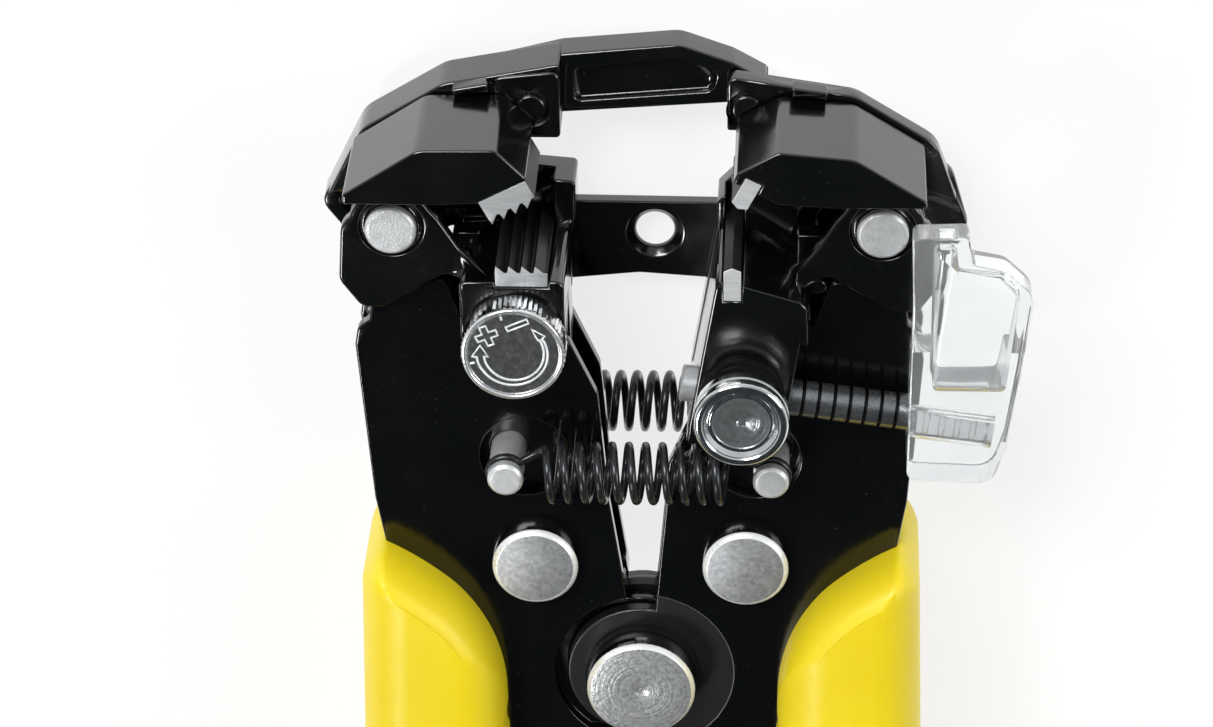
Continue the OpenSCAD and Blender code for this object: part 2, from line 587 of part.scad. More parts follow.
module right_arm_casting() {
    difference() {
        union() {
            disc(arm_rivet, arm_eye_r, -shank_half, shank_half);
            slab(rounded([[5.6, 13, 0], [5.4, 22, 2], [4.4, 28.2, 1], [7.4, 44, 0], [15.6, 43, 0],
                [16.2, 36, 2], [15.2, 22, 2], [14.4, 13, 0]]), -shank_half, shank_half);
            slab(concat([[7.4, 45.2], [4.5, 28.9], [5, 28.5], [8, 29.8], [8.8, 39.8]], arm_arc(92.6, 77.6),
                [[15.6, 43.2], [15, 43.8], [8.3, 45.9], [7.6, 45.9]]), -right_rear, cast_front);
            for (z = [[-right_rear, -cheek_in], [cheek_in, cast_front]]) slab(right_cheek, z[0], z[1]);
            ear(cheek_in, ear_front);
            slab(right_arm_rim, right_frame_back, frame_front);
            slab(right_arm_shelf, -ear_front, right_frame_back);
            slab(rounded(right_tab), frame_front - 0.5, frame_front + tab_proud);
            disc(jaw_rivet, ear_boss_r, -ear_front, frame_front);
            slab(rounded([[7.4, 44, 0], [7.2, 48.4, 0.4], [9.3, 50.6, 0.5], [13, 50.6, 0.5], [13.6, 43.6, 0]]),
                -right_rear, frame_front);
        }
        rear_plate_room();
        disc(arm_rivet, arm_rivet_r + run_fit, -shank_half - 1, shank_half + 1);
        disc(post, post_head_r + fixed_fit, -shank_half - 1, shank_half + 1);
        jaw_rivet_bore(fixed_fit);
        along_rod() translate([0, 0, -3]) cylinder(r = rod_r + run_fit, h = 16);
        disc(button_place, button_stem_r + run_fit, rod_z, cast_front + 1);
        ring_groove(jaw_rivet, jaw_head_r + 0.05, 0.5, ear_front, 0.35);
        ring_groove(boss_place, boss_r, 0.25, frame_front, 0.25);
        translate([blade_from - fixed_fit, blade_foot - fixed_fit, insert_back - fixed_fit])
            cube([blade_to - blade_from + 2 * fixed_fit, 12, cast_front - insert_back + 1]);
    }
}
module right_arm() { color("#17191b") right_side() right_arm_casting(); }

blade_mid = (blade_from + blade_to) / 2;
module lower_blade() {
    color("#dcdddf") right_side() slab([[blade_from, blade_foot], [blade_to, blade_foot],
        [blade_to, mouth_y - blade_bevel], [blade_mid, mouth_y], [blade_from, mouth_y - blade_bevel]],
        insert_back, insert_front);
}

module left_jaw_rivet() {
    color("#c4c6c8") left_side() headed_pin(jaw_rivet, jaw_rivet_r, jaw_head_r, -cast_rear, ear_front, 0.9, 0.25);
}
module right_jaw_rivet() {
    color("#c4c6c8") right_side() headed_pin(jaw_rivet, jaw_rivet_r, jaw_head_r, -ear_front, ear_front, 0.9, 0.25);
}

// Upper jaws: a box over the mouth, a hub on the jaw rivet and a forked tail on the drive pin
box_low = 0.3;
box_high = 9.4;
upper_gap = 0.15;
seat_y = 49.9;
pin_play = 0.35;
tail_wall = 1.5;
hub_r = 3.9;
function pin_in_jaw(s) = turned(turned(drive_pin, arm_rivet, -s * arm_turn), jaw_rivet, -s * jaw_turn);
slot_steps = 4;
slot_path = [for (i = [0:slot_steps]) pin_in_jaw(i / slot_steps)];
// Round-ended slot along a path, made of one straight stretch after another
module path_slot(path, half, low, high) {
    for (i = [0:len(path) - 2]) {
        side = half * unit([path[i].y - path[i + 1].y, path[i + 1].x - path[i].x]);
        slab([path[i] + side, path[i] - side, path[i + 1] - side, path[i + 1] + side], low, high);
    }
    for (p = path) disc(p, half, low, high);
}
function opened(p, r) = let (q = turned(p, jaw_rivet, -jaw_turn)) [q.x, q.y, r];

module upper_jaw(box_outline) {
    slot_half = drive_pin_r + pin_play;
    difference() {
        union() {
            slab(box_outline, jaw_back, box_high);
            slab(rounded([[19.1, 50.6, 0], [16.6, 54.6, 1], [20, 57, 0], [25.8, 55, 0], [25.9, 51, 0]]),
                jaw_back, jaw_front);
            disc(jaw_rivet, hub_r, jaw_back, jaw_front);
            path_slot([jaw_rivet, slot_path[0], slot_path[slot_steps]], slot_half + tail_wall, jaw_back, jaw_half);
        }
        path_slot(slot_path, slot_half, jaw_back - 1, jaw_half + 1);
        disc(jaw_rivet, jaw_rivet_r + run_fit, jaw_back - 1, jaw_front + 1);
    }
}
left_box = rounded([[26.3, 54, 0.3], [26.3, 55, 0.5], [19.4, 59.5, 2], [12.4, 59.6, 1],
    opened([insert_from - 0.3, seat_y], 0.3), opened([insert_to + 0.3, seat_y], 0.3), [17.6, 54, 1]]);
right_box = rounded([[26.3, 54, 0.3], [26.2, 54.8, 0.3], [19.8, 58.9, 2], [12.9, 59.6, 1],
    opened([blade_from - 0.9, seat_y + 0.6], 0.3), opened([blade_from - 0.8, seat_y - 0.4], 0.3),
    opened([blade_to + 2.2, seat_y - 0.5], 0.4), [17.6, 54, 1]]);

module left_upper_jaw() { color("#17191b") left_side() upper_jaw(left_box); }
module right_upper_jaw() {
    color("#17191b") right_side() difference() {
        upper_jaw(right_box);
        from_shut_jaw() translate([blade_from - fixed_fit, mouth_y, box_low + 0.2])
            cube([blade_to - blade_from + 2 * fixed_fit, upper_gap + blade_rise + fixed_fit, box_high]);
    }
}
module upper_grip_insert() {
    color("#d9dadb") left_side() from_shut_jaw() slab(concat([[insert_from, seat_y]],
        tooth_row(mouth_y + upper_gap + tooth_h, mouth_y + upper_gap),
        [[insert_to, mouth_y + upper_gap + tooth_h], [insert_to, seat_y]]), box_low + 0.2, box_high - 0.1);
}
module upper_blade() {
    tip = mouth_y + upper_gap;
    color("#dcdddf") right_side() from_shut_jaw() slab([[blade_from, tip + blade_bevel], [blade_mid, tip],
        [blade_to, tip + blade_bevel], [blade_to, tip + blade_rise], [blade_from, tip + blade_rise]],
        box_low + 0.25, box_high - 0.1);
}

// Tension knob on its stud
knob_low = cast_front + 0.2;
module knob_stud() {
    color("#8b8e91") left_side() disc(knob_place, stud_r, stud_low + 0.1, knob_low + knob_h - 0.9);
}
knurls = 48;
module tension_knob() {
    color("#cfd1d3") left_side() difference() {
        translate([knob_place.x, knob_place.y, knob_low]) rotate_extrude() polygon([[0, 0], [knob_r - 0.3, 0],
            [knob_r, 0.3], [knob_r, knob_h - 0.5], [knob_r - 0.5, knob_h], [knob_r - 1, knob_h],
            [knob_r - 1.1, knob_h - 0.3], [0, knob_h - 0.3]]);
        disc(knob_place, stud_r + run_fit, knob_low - 1, knob_low + knob_h - 0.8);
        translate([knob_place.x, knob_place.y, knob_low - 1]) for (i = [0:knurls - 1])
            rotate([0, 0, i * 360 / knurls]) translate([knob_r + 0.07, 0, 0]) cylinder(r = 0.22, h = knob_h + 2, $fn = 6);
    }
}

// Button over the rod, guided by its collar
button_travel = 1;
collar_high = cast_front + 1.1;
button_low = collar_high + button_travel + 0.1;
button_high = 14;
stem_end = rod_z + rod_r + button_travel + 0.15;
module button_collar() {
    color("#202224") right_side() difference() {
        translate([button_place.x, button_place.y, cast_front]) rotate_extrude() polygon([[0, 0], [3.9, 0], [3.9, 0.4],
            [3.4, 0.4], [3.4, 0.7], [3.6, 0.7], [3.6, 1.1], [0, 1.1]]);
        disc(button_place, button_stem_r + run_fit, cast_front - 1, collar_high + 1);
    }
}
module stop_button() {
    color("#d5d7d9") right_side() translate([button_place.x, button_place.y, 0]) rotate_extrude() polygon([
        [0, stem_end], [button_stem_r, stem_end], [button_stem_r, button_low],
        [button_r - 0.6, button_low], [button_r, button_low + 0.6], [button_r, button_high - 0.7],
        [button_r - 0.3, button_high - 0.2], [button_r - 0.8, button_high], [button_r - 1.3, button_high - 0.1],
        [button_r - 1.6, button_high - 0.5], [0.5, button_high - 0.6], [0, button_high - 0.8]]);
}

// Rod with ring grooves that the button's stem locks in, and the clear stop on its end
rod_len = 29;
groove_pitch = 1.45;
groove_half = 0.22;
groove_depth = 0.3;
groove_first = 1.2;
groove_count = floor((rod_len - 1.4) / groove_pitch);
module stop_rod() {
    color("#c9cbcd") right_side() along_rod() rotate_extrude() polygon(concat([[0, 0], [rod_r, 0]],
        [for (i = [0:groove_count - 1]) let (y = groove_first + i * groove_pitch) each [
            [rod_r, y - groove_half], [rod_r - groove_depth, y - groove_half / 2],
            [rod_r - groove_depth, y + groove_half / 2], [rod_r, y + groove_half]]],
        [[rod_r, rod_len - 0.4], [rod_r - 0.4, rod_len], [0, rod_len]]));
}

stop_low = 4.3;
stop_step = 7;
stop_high = 10;
stop_wall = 1.1;
stop_outline = rounded([[24.9, 25.9, 1], [25.2, 44.3, 0], [25, 51.3, 0.6], [30.1, 51.5, 0.6], [30.5, 48.8, 0.4],
    [33.4, 48.2, 2], [36.1, 45.6, 2.5], [35.1, 36.9, 5], [34, 29.5, 5], [32.8, 25.6, 2]]);
stop_base = rounded([[24.9, 25.9, 1], [25.1, 38.6, 0.5], [35.3, 38.6, 0.5], [34, 29.5, 5], [32.8, 25.6, 2]]);
module length_stop() {
    color([0.85, 0.9, 0.92, 0.5]) right_side() difference() {
        union() {
            slab(stop_outline, stop_step, stop_high);
            slab(stop_base, stop_low, stop_step + 0.1);
        }
        slab(rounded([[27.1, 35.2, 0.6], [27.1, 49.9, 0.5], [28.9, 49.9, 0.5], [29.2, 47.4, 0.4], [33.2, 47, 1],
            [34.8, 45.2, 1.4], [33.8, 35.2, 0.6]]), stop_low - 1, stop_high - stop_wall);
        along_rod() cylinder(r = rod_r + fixed_fit, h = rod_len + 0.1);
    }
}

pivot_rivet();
hub_spacer();
front_washer();
rear_washer();
front_spring();
rear_spring();
left_lever_front();
left_lever_rear();
left_grip();
left_crimp_bar();
left_bar_rivets();
left_arm_rivet();
left_drive_pin();
left_arm();
left_spring_post();
left_jaw_rivet();
lower_grip_insert();
guide_bridge();
bridge_screws();
knob_stud();
tension_knob();
left_upper_jaw();
upper_grip_insert();
right_lever_front();
right_lever_rear();
right_grip();
right_crimp_bar();
right_bar_rivets();
right_arm_rivet();
right_drive_pin();
right_arm();
right_spring_post();
right_jaw_rivet();
lower_blade();
button_collar();
stop_button();
right_upper_jaw();
upper_blade();
stop_rod();
length_stop();
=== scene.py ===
import bpy
import bmesh
import json
from math import cos, sin, pi, radians
from mathutils import Matrix, Vector
from mathutils.bvhtree import BVHTree


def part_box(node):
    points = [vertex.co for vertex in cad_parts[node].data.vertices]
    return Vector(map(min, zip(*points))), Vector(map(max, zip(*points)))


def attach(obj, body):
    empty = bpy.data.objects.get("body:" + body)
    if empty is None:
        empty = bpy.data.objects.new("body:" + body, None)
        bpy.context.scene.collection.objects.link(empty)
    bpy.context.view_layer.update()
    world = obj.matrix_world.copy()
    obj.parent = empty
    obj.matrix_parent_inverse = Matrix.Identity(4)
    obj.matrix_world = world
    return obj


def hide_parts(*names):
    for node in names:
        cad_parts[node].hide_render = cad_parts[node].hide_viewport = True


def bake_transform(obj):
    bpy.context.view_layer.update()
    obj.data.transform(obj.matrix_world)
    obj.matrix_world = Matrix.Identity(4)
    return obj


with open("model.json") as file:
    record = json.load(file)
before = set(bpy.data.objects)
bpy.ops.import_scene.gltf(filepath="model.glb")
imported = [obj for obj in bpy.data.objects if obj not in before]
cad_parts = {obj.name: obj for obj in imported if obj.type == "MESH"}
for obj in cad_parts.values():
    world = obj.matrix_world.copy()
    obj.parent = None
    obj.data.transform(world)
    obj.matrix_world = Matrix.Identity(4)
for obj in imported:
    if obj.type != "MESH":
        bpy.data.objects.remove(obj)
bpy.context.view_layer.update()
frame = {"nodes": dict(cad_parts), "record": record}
nodes = frame["nodes"]

MM = 0.001
MERGE = 0.002 * MM
# Main pivot in the row frame, worked out from the spacer between the hub discs
spacer_low, spacer_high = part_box("hub_spacer")
PIVOT = Vector([(low + high) / 2 for low, high in zip(spacer_low, spacer_high)])


def at(x, y, z):
    """Millimetres from the main pivot to the row frame."""
    return PIVOT + Vector((x, y, z)) * MM


# Camera at the photograph's viewing angle, given from the main pivot
CAMERA_PLACE = (15.97, 244.01, 365.48)
CAMERA_YAW = radians(3.0)
CAMERA_PITCH = radians(30.04)
CAMERA_ROLL = radians(-0.9)
PHOTO_WIDTH = 1213
FOCAL_PIXELS = 4500
SENSOR_WIDTH = 36


def photo_camera():
    """Camera at the photograph's viewing angle."""
    yaw_cos, yaw_sin, pitch_cos = cos(CAMERA_YAW), sin(CAMERA_YAW), cos(CAMERA_PITCH)
    right = Vector((yaw_cos, 0, -yaw_sin))
    back = Vector((yaw_sin * pitch_cos, sin(CAMERA_PITCH), yaw_cos * pitch_cos))
    up = back.cross(right)
    rolled_right = right * cos(CAMERA_ROLL) + up * sin(CAMERA_ROLL)
    rolled_up = up * cos(CAMERA_ROLL) - right * sin(CAMERA_ROLL)
    data = bpy.data.cameras.new("photo_camera")
    data.sensor_width = SENSOR_WIDTH
    data.lens = SENSOR_WIDTH * FOCAL_PIXELS / PHOTO_WIDTH
    data.clip_start = 0.01
    camera = bpy.data.objects.new("photo_camera", data)
    turn = Matrix((rolled_right, rolled_up, back)).transposed().to_4x4()
    camera.matrix_world = Matrix.Translation(at(*CAMERA_PLACE)) @ turn
    bpy.context.scene.collection.objects.link(camera)
    bpy.context.scene.camera = camera


# Materials

SKIN_DEPTH = 0.0002
GRAIN_DEPTH = 0.0001
POCKET_RADIUS = 8.8
POCKET_LINE = 0.15


def new_material(name):
    material = bpy.data.materials.new(name)
    material.use_nodes = True
    tree = material.node_tree
    return material, tree, tree.nodes["Principled BSDF"]


def set_inputs(tree, node, inputs):
    """Links an output to each named input, or sets the constant on the input itself."""
    for socket, value in inputs.items():
        if isinstance(value, bpy.types.NodeSocket):
            tree.links.new(value, node.inputs[socket])
        else:
            node.inputs[socket].default_value = value


def add_node(tree, kind, inputs, operation=None):
    node = tree.nodes.new("ShaderNode" + kind)
    if operation:
        node.operation = operation
    set_inputs(tree, node, inputs)
    return node


def object_place(tree):
    return tree.nodes.new("ShaderNodeTexCoord").outputs["Object"]


def noise(tree, scale, detail=4.0, stretch=(1, 1, 1)):
    mapping = add_node(tree, "Mapping", {"Vector": object_place(tree), "Scale": stretch})
    texture = add_node(tree, "TexNoise", {"Vector": mapping.outputs["Vector"], "Scale": scale, "Detail": detail})
    return texture.outputs["Fac"]


def radius_from(tree, centre):
    """Distance in plan from a centre given in mm from the pivot."""
    shift = add_node(tree, "VectorMath", {0: object_place(tree), 1: at(*centre, 0)}, "SUBTRACT")
    flat = add_node(tree, "VectorMath", {0: shift.outputs["Vector"], 1: (1, 1, 0)}, "MULTIPLY")
    return add_node(tree, "VectorMath", {0: flat.outputs["Vector"]}, "LENGTH").outputs["Value"]


def ramp(tree, value, low, high, low_color, high_color):
    node = add_node(tree, "ValToRGB", {"Fac": value})
    node.color_ramp.elements[0].position = low
    node.color_ramp.elements[0].color = (*low_color, 1)
    node.color_ramp.elements[1].position = high
    node.color_ramp.elements[1].color = (*high_color, 1)
    return node.outputs["Color"]


def gray_ramp(tree, value, low, high, low_gray, high_gray):
    return ramp(tree, value, low, high, (low_gray,) * 3, (high_gray,) * 3)


def bumped(tree, shader, height, strength, distance):
    node = add_node(tree, "Bump", {"Height": height, "Strength": strength, "Distance": distance})
    tree.links.new(node.outputs["Normal"], shader.inputs["Normal"])
    return node


def black_enamel(name, color, dust, rough_low, rough_high, peel_scale, peel, index=1.6):
    """Glossy black enamel with an orange-peel skin, mottled gloss and fine dust."""
    material, tree, shader = new_material(name)
    set_inputs(tree, shader, {
        "Base Color": ramp(tree, noise(tree, 2600, 2), 0.7, 0.82, color, dust),
        "Roughness": gray_ramp(tree, noise(tree, 160, 5), 0.35, 0.7, rough_low, rough_high),
        "IOR": index,
    })
    bumped(tree, shader, noise(tree, peel_scale, 3), peel, SKIN_DEPTH)
    return material


def hub_plate():
    """The plate's enamel with a shallow satin pocket around the pivot, painted a little lighter as a painted
    sheen, and a light grey line at the pocket's edge over a bump step, a painted highlight.
    """
    material = FINISHES["plate"].copy()
    tree = material.node_tree
    shader = tree.nodes["Principled BSDF"]
    pocket = add_node(tree, "MapRange", {
        "Value": radius_from(tree, (0, 0)),
        "From Min": POCKET_RADIUS * MM,
        "From Max": (POCKET_RADIUS + POCKET_LINE) * MM,
    }).outputs["Result"]
    # Inside the pocket the colour is a little lighter, a painted sheen; at its edge a light grey band is a painted
    # highlight; roughness follows the same bands
    for socket, satin, line in (("Base Color", (0.006, 0.0065, 0.007), (0.3, 0.3, 0.3)),
                                ("Roughness", (0.37, 0.37, 0.37), (0.3, 0.3, 0.3))):
        enamel = shader.inputs[socket].links[0].from_socket
        inside = ramp(tree, pocket, 0.1, 0.5, satin, line)
        mix = add_node(tree, "MixRGB", {"Fac": pocket, "Color1": inside, "Color2": enamel})
        tree.links.new(mix.outputs["Color"], shader.inputs[socket])
    skin = shader.inputs["Normal"].links[0].from_node
    step = bumped(tree, shader, pocket, 0.7, SKIN_DEPTH)
    tree.links.new(skin.outputs["Normal"], step.inputs["Normal"])
    return material


def steel(name, color, rough_low, rough_high, grain_scale, grain, stretch=(1, 1, 1), metal=1.0, mottle=0.82):
    """Bare or plated steel with a fine grain; its darkest patches keep the mottle's share of the colour."""
    material, tree, shader = new_material(name)
    darker = tuple(c * mottle for c in color)
    grain_value = noise(tree, grain_scale, 4, stretch)
    set_inputs(tree, shader, {
        "Metallic": metal,
        "Base Color": ramp(tree, noise(tree, grain_scale / 6, 3, stretch), 0.3, 0.7, darker, color),
        "Roughness": gray_ramp(tree, grain_value, 0.3, 0.7, rough_low, rough_high),
    })
    bumped(tree, shader, grain_value, grain, GRAIN_DEPTH)
    return material


def turned_steel(name, centre, color, rough, ring_scale, rings, blotch, metal=0.75):
    """Steel faced on a lathe: fine rings about a centre, broken up by small blotches."""
    material, tree, shader = new_material(name)
    ring = tree.nodes.new("ShaderNodeTexNoise")
    ring.noise_dimensions = "1D"
    set_inputs(tree, ring, {"W": radius_from(tree, centre), "Scale": ring_scale, "Detail": 3})
    spots = noise(tree, blotch, 5)
    cut = add_node(tree, "Math", {0: ring.outputs["Fac"], 1: rings, 2: spots}, "MULTIPLY_ADD").outputs[0]
    darker = tuple(c * 0.7 for c in color)
    low = 0.35 + 0.3 * rings
    set_inputs(tree, shader, {
        "Metallic": metal,
        "Base Color": ramp(tree, cut, low, low + 0.5, darker, color),
        "Roughness": gray_ramp(tree, spots, 0.3, 0.7, rough * 0.8, rough * 1.2),
    })
    bumped(tree, shader, cut, 0.25, SKIN_DEPTH)
    return material


def grip_plastic():
    """Soft yellow moulded plastic, faintly cloudy, with a fine skin."""
    material, tree, shader = new_material("grip_plastic")
    set_inputs(tree, shader, {
        "Base Color": ramp(tree, noise(tree, 45, 4), 0.3, 0.7, (0.73, 0.56, 0.006), (0.8, 0.63, 0.01)),
        "Roughness": gray_ramp(tree, noise(tree, 700, 3), 0.3, 0.7, 0.4, 0.5),
        "Subsurface Weight": 0.15,
        "Subsurface Radius": (0.003, 0.002, 0.0004),
        "Subsurface Scale": 1.0,
    })
    bumped(tree, shader, noise(tree, 1500, 3), 0.1, GRAIN_DEPTH)
    return material


def clear_plastic():
    """Clear moulded plastic, a little milky, with faint flow marks."""
    material, tree, shader = new_material("clear_plastic")
    wave = noise(tree, 120, 2)
    set_inputs(tree, shader, {
        "Base Color": ramp(tree, wave, 0.3, 0.7, (0.84, 0.86, 0.865), (0.92, 0.935, 0.94)),
        "Roughness": gray_ramp(tree, wave, 0.3, 0.7, 0.03, 0.09),
        "Transmission Weight": 0.88,
        "IOR": 1.45,
    })
    bumped(tree, shader, wave, 0.12, 0.0003)
    return material


# Centres of the knob and the button in plan, in mm from the pivot
KNOB = (-11.1, 39.9)
BUTTON = (9.7, 34)

BLACK, BLACK_DUST = (0.002, 0.0024, 0.0026), (0.028, 0.03, 0.032)
# Lighter dust for the edge enamels, both dust and part of their painted highlight
EDGE_DUST_AND_HIGHLIGHT = (0.09, 0.095, 0.1)
HIGHLIGHT_WHITE = (0.9, 0.91, 0.92)
FINISHES = {
    "casting": black_enamel("casting_enamel", BLACK, BLACK_DUST, 0.12, 0.2, 900, 0.06, 1.7),
    "plate": black_enamel("plate_enamel", BLACK, BLACK_DUST, 0.1, 0.18, 1300, 0.06, 1.6),
    # Lighter copies of the black enamels for the rounded edges: a painted highlight
    "casting_edge_highlight": black_enamel("casting_edge_highlight", (0.035, 0.038, 0.04), EDGE_DUST_AND_HIGHLIGHT, 0.22, 0.36, 900, 0.05, 1.8),
    "plate_edge_highlight": black_enamel("plate_edge_highlight", (0.04, 0.043, 0.045), EDGE_DUST_AND_HIGHLIGHT, 0.22, 0.36, 1300, 0.05, 1.8),
    "oxide": black_enamel("black_oxide", (0.006, 0.0065, 0.007), (0.02, 0.021, 0.022), 0.36, 0.5, 3000, 0.1, 1.3),
    "grip": grip_plastic(),
    "rivet": steel("satin_rivet", (0.76, 0.77, 0.78), 0.34, 0.46, 5200, 0.3, metal=0.6),
    "arm_rivet": steel("brushed_rivet", (0.5, 0.51, 0.52), 0.32, 0.44, 15000, 0.3, metal=0.65, mottle=0.6),
    # Dark steel for the rivets' sides, a painted shade
    "shaded_wall": steel("rivet_side_shade", (0.2, 0.205, 0.21), 0.12, 0.2, 5200, 0.05),
    # Near-white finish that paints the highlights on the knob's raised marks and the rivets' chamfers
    "mark_highlight": steel("raised_mark_highlight", HIGHLIGHT_WHITE, 0.25, 0.35, 2600, 0.05, metal=0.35),
    # Brighter copy of the chrome for the knob's rim, a painted highlight
    "rim_highlight": steel("rim_highlight_chrome", HIGHLIGHT_WHITE, 0.16, 0.24, 5200, 0.05, metal=0.8),
    "blade": steel("ground_steel", (0.52, 0.53, 0.54), 0.34, 0.48, 2600, 0.12, (1, 8, 1), metal=0.6),
    "honed": steel("honed_edge", (0.74, 0.75, 0.76), 0.3, 0.42, 2600, 0.1, (1, 8, 1), metal=0.5),
    "bar": steel("dark_bar", (0.42, 0.43, 0.45), 0.26, 0.42, 2400, 0.15),
    "wire": steel("spring_wire", (0.045, 0.047, 0.05), 0.22, 0.28, 1200, 0.02, metal=0.7),
    "rod": steel("ground_rod", (0.24, 0.25, 0.26), 0.22, 0.34, 2600, 0.12, (1, 6, 1), metal=0.9),
    "groove": steel("groove_shadow", (0.02, 0.02, 0.022), 0.5, 0.6, 2600, 0.1),
    "chrome": steel("chrome_plate", (0.82, 0.83, 0.84), 0.1, 0.2, 1500, 0.03),
    "knob_face": turned_steel("knob_face", KNOB, (0.2, 0.205, 0.21), 0.26, 4000, 0.15, 1500),
    "button_face": turned_steel("button_face", BUTTON, (0.3, 0.31, 0.32), 0.22, 2600, 0.8, 1600),
    "pivot_face": turned_steel("pivot_face", (0, 0), (0.6, 0.61, 0.62), 0.36, 2600, 0.9, 2200),
    "clear": clear_plastic(),
}
FINISHES["hub_plate"] = hub_plate()
# Finish of each material slot; the rounded edges of castings and plates take a lighter copy of their enamel, a
# painted highlight
SLOT_FINISH = {
    "black_casting": "casting", "black_plate": "plate", "yellow_grip": "grip", "rivet_steel": "rivet",
    "bright_steel": "blade", "dark_steel": "bar", "chrome": "chrome", "black_oxide": "oxide",
    "clear_plastic": "clear",
}
EDGE_HIGHLIGHT_OF = {"casting": "casting_edge_highlight", "plate": "plate_edge_highlight", "hub_plate": "plate_edge_highlight"}
BODY_OF = {node: body for body, members in frame["record"]["behaviour"]["bodies"].items() for node in members}
SLOT_OF = {part["node"]: part["material_slot"] for part in frame["record"]["subparts"]}


def dress_nodes():
    for name, node in nodes.items():
        finish = FINISHES["wire" if name.endswith("_spring") else SLOT_FINISH[SLOT_OF[name]]]
        for slot in node.material_slots:
            slot.material = finish


# Pieces

def stand_for(piece, node, finish):
    """The piece takes the node's place and body, with the given finish."""
    piece.data.materials.clear()
    piece.data.materials.append(FINISHES[finish])
    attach(piece, BODY_OF[node])
    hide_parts(node)


def new_piece(name, mesh_builder):
    mesh = bpy.data.meshes.new(name)
    mesh_builder.to_mesh(mesh)
    mesh_builder.free()
    piece = bpy.data.objects.new(name, mesh)
    bpy.context.scene.collection.objects.link(piece)
    return piece


def smooth_faces(bm, sharp_angle):
    """Shades the faces smooth, with sharp edges where they turn by more than the angle."""
    for face in bm.faces:
        face.smooth = True
    for edge in bm.edges:
        edge.smooth = len(edge.link_faces) == 2 and edge.calc_face_angle(0) < radians(sharp_angle)


def made_mesh(piece):
    """Turns the piece's modifiers into its mesh."""
    bpy.context.view_layer.update()
    mesh = bpy.data.meshes.new_from_object(piece.evaluated_get(bpy.context.evaluated_depsgraph_get()))
    piece.modifiers.clear()
    piece.data = mesh


def edges_to_round(bm, width, crease):
    """Outer sharp edges, and long shallow creases between flat faces, with the width of each one's rounding."""
    sharp, shallow = radians(28), radians(8)
    crease_length, crease_area = 2 * MM, 4 * MM * MM
    widths = {}
    for edge in bm.edges:
        if len(edge.link_faces) == 2:
            turn = edge.calc_face_angle(0)
            if turn > sharp and edge.is_convex:
                widths[edge] = width
            elif shallow < turn < sharp and edge.calc_length() > crease_length:
                if min(face.calc_area() for face in edge.link_faces) > crease_area:
                    widths[edge] = max(crease, width)
    return widths


def from_edge(point, edge):
    """Distance from a point to an edge."""
    low, high = (vert.co for vert in edge.verts)
    along = high - low
    share = min(1, max(0, (point - low).dot(along) / max(along.length_squared, 1e-12)))
    return (point - low - along * share).length


def softened(node, finish, width, crease=0.0, segments=3):
    """A copy of a CAD node with its sharp edges rounded over, as the casting's or stamping's are.

    A corner too tight to round would be thrown out of shape, so the edges near it are left sharp.
    """
    thrown_in, thrown_out, kept_sharp, tries = 0.45 * MM, 0.06 * MM, 0.5 * MM, 5
    bm = bmesh.new()
    bm.from_mesh(nodes[node].data)
    bmesh.ops.remove_doubles(bm, verts=bm.verts, dist=2 * MERGE)
    surface = BVHTree.FromBMesh(bm)
    bmesh.ops.dissolve_limit(bm, angle_limit=radians(1.5), verts=bm.verts, edges=bm.edges)
    for face in bm.faces:
        face.smooth = True
    weight = bm.edges.layers.float.new("bevel_weight_edge")
    widths = edges_to_round(bm, width, crease)
    sharp_spots = []
    for attempt in range(tries):
        for edge, value in widths.items():
            edge[weight] = 0 if any(from_edge(spot, edge) < room for spot, room in sharp_spots) else value
        piece = new_piece(node + "_soft", bm.copy())
        rounding = piece.modifiers.new("rounding", "BEVEL")
        rounding.limit_method = "WEIGHT"
        rounding.width = MM
        rounding.segments = segments
        rounding.use_clamp_overlap = False
        # The rounded faces take the second material, the lighter edge enamel that paints their highlight
        rounding.material = 1
        for name in (finish, EDGE_HIGHLIGHT_OF.get(finish, finish)):
            piece.data.materials.append(FINISHES[name])
        made_mesh(piece)
        found = [(surface.find_nearest(vert.co), vert) for vert in piece.data.vertices]
        thrown = [(near, vert) for near, vert in found
                  if near[3] > thrown_in or (vert.co - near[0]).dot(near[1]) > thrown_out]
        if not thrown or attempt == tries - 1:
            break
        sharp_spots += [(near[0], kept_sharp + near[3]) for near, vert in thrown]
        bpy.data.objects.remove(piece)
    for near, vert in thrown:
        vert.co = near[0]
    bm.free()
    piece.modifiers.new("triangles", "TRIANGULATE")
    flats = piece.modifiers.new("flats", "WEIGHTED_NORMAL")
    flats.weight = 80
    made_mesh(piece)
    stand_for(piece, node, finish)
    # Second material again: the lighter edge enamel, a painted highlight
    piece.data.materials.append(FINISHES[EDGE_HIGHLIGHT_OF.get(finish, finish)])
    return piece


def paint(piece, finish, test):
    """Gives another finish to the faces that pass the test on their centre, in mm from the pivot, and normal."""
    piece.data.materials.append(FINISHES[finish])
    for face in piece.data.polygons:
        if test((face.center - PIVOT) / MM, face.normal):
            face.material_index = len(piece.data.materials) - 1


def lathe(node, centre, profile, finish, steps=96, reshape=None):
    """Turned piece for a node; the profile holds radii and heights above the mid-plane in mm."""
    bm = bmesh.new()
    spin_line(bm, [at(centre[0] + r, centre[1], z) for r, z in profile], at(*centre, 0), steps)
    if reshape:
        reshape(bm)
    bmesh.ops.recalc_face_normals(bm, faces=bm.faces)
    smooth_faces(bm, 32)
    piece = new_piece(node + "_turned", bm)
    stand_for(piece, node, finish)
    return piece


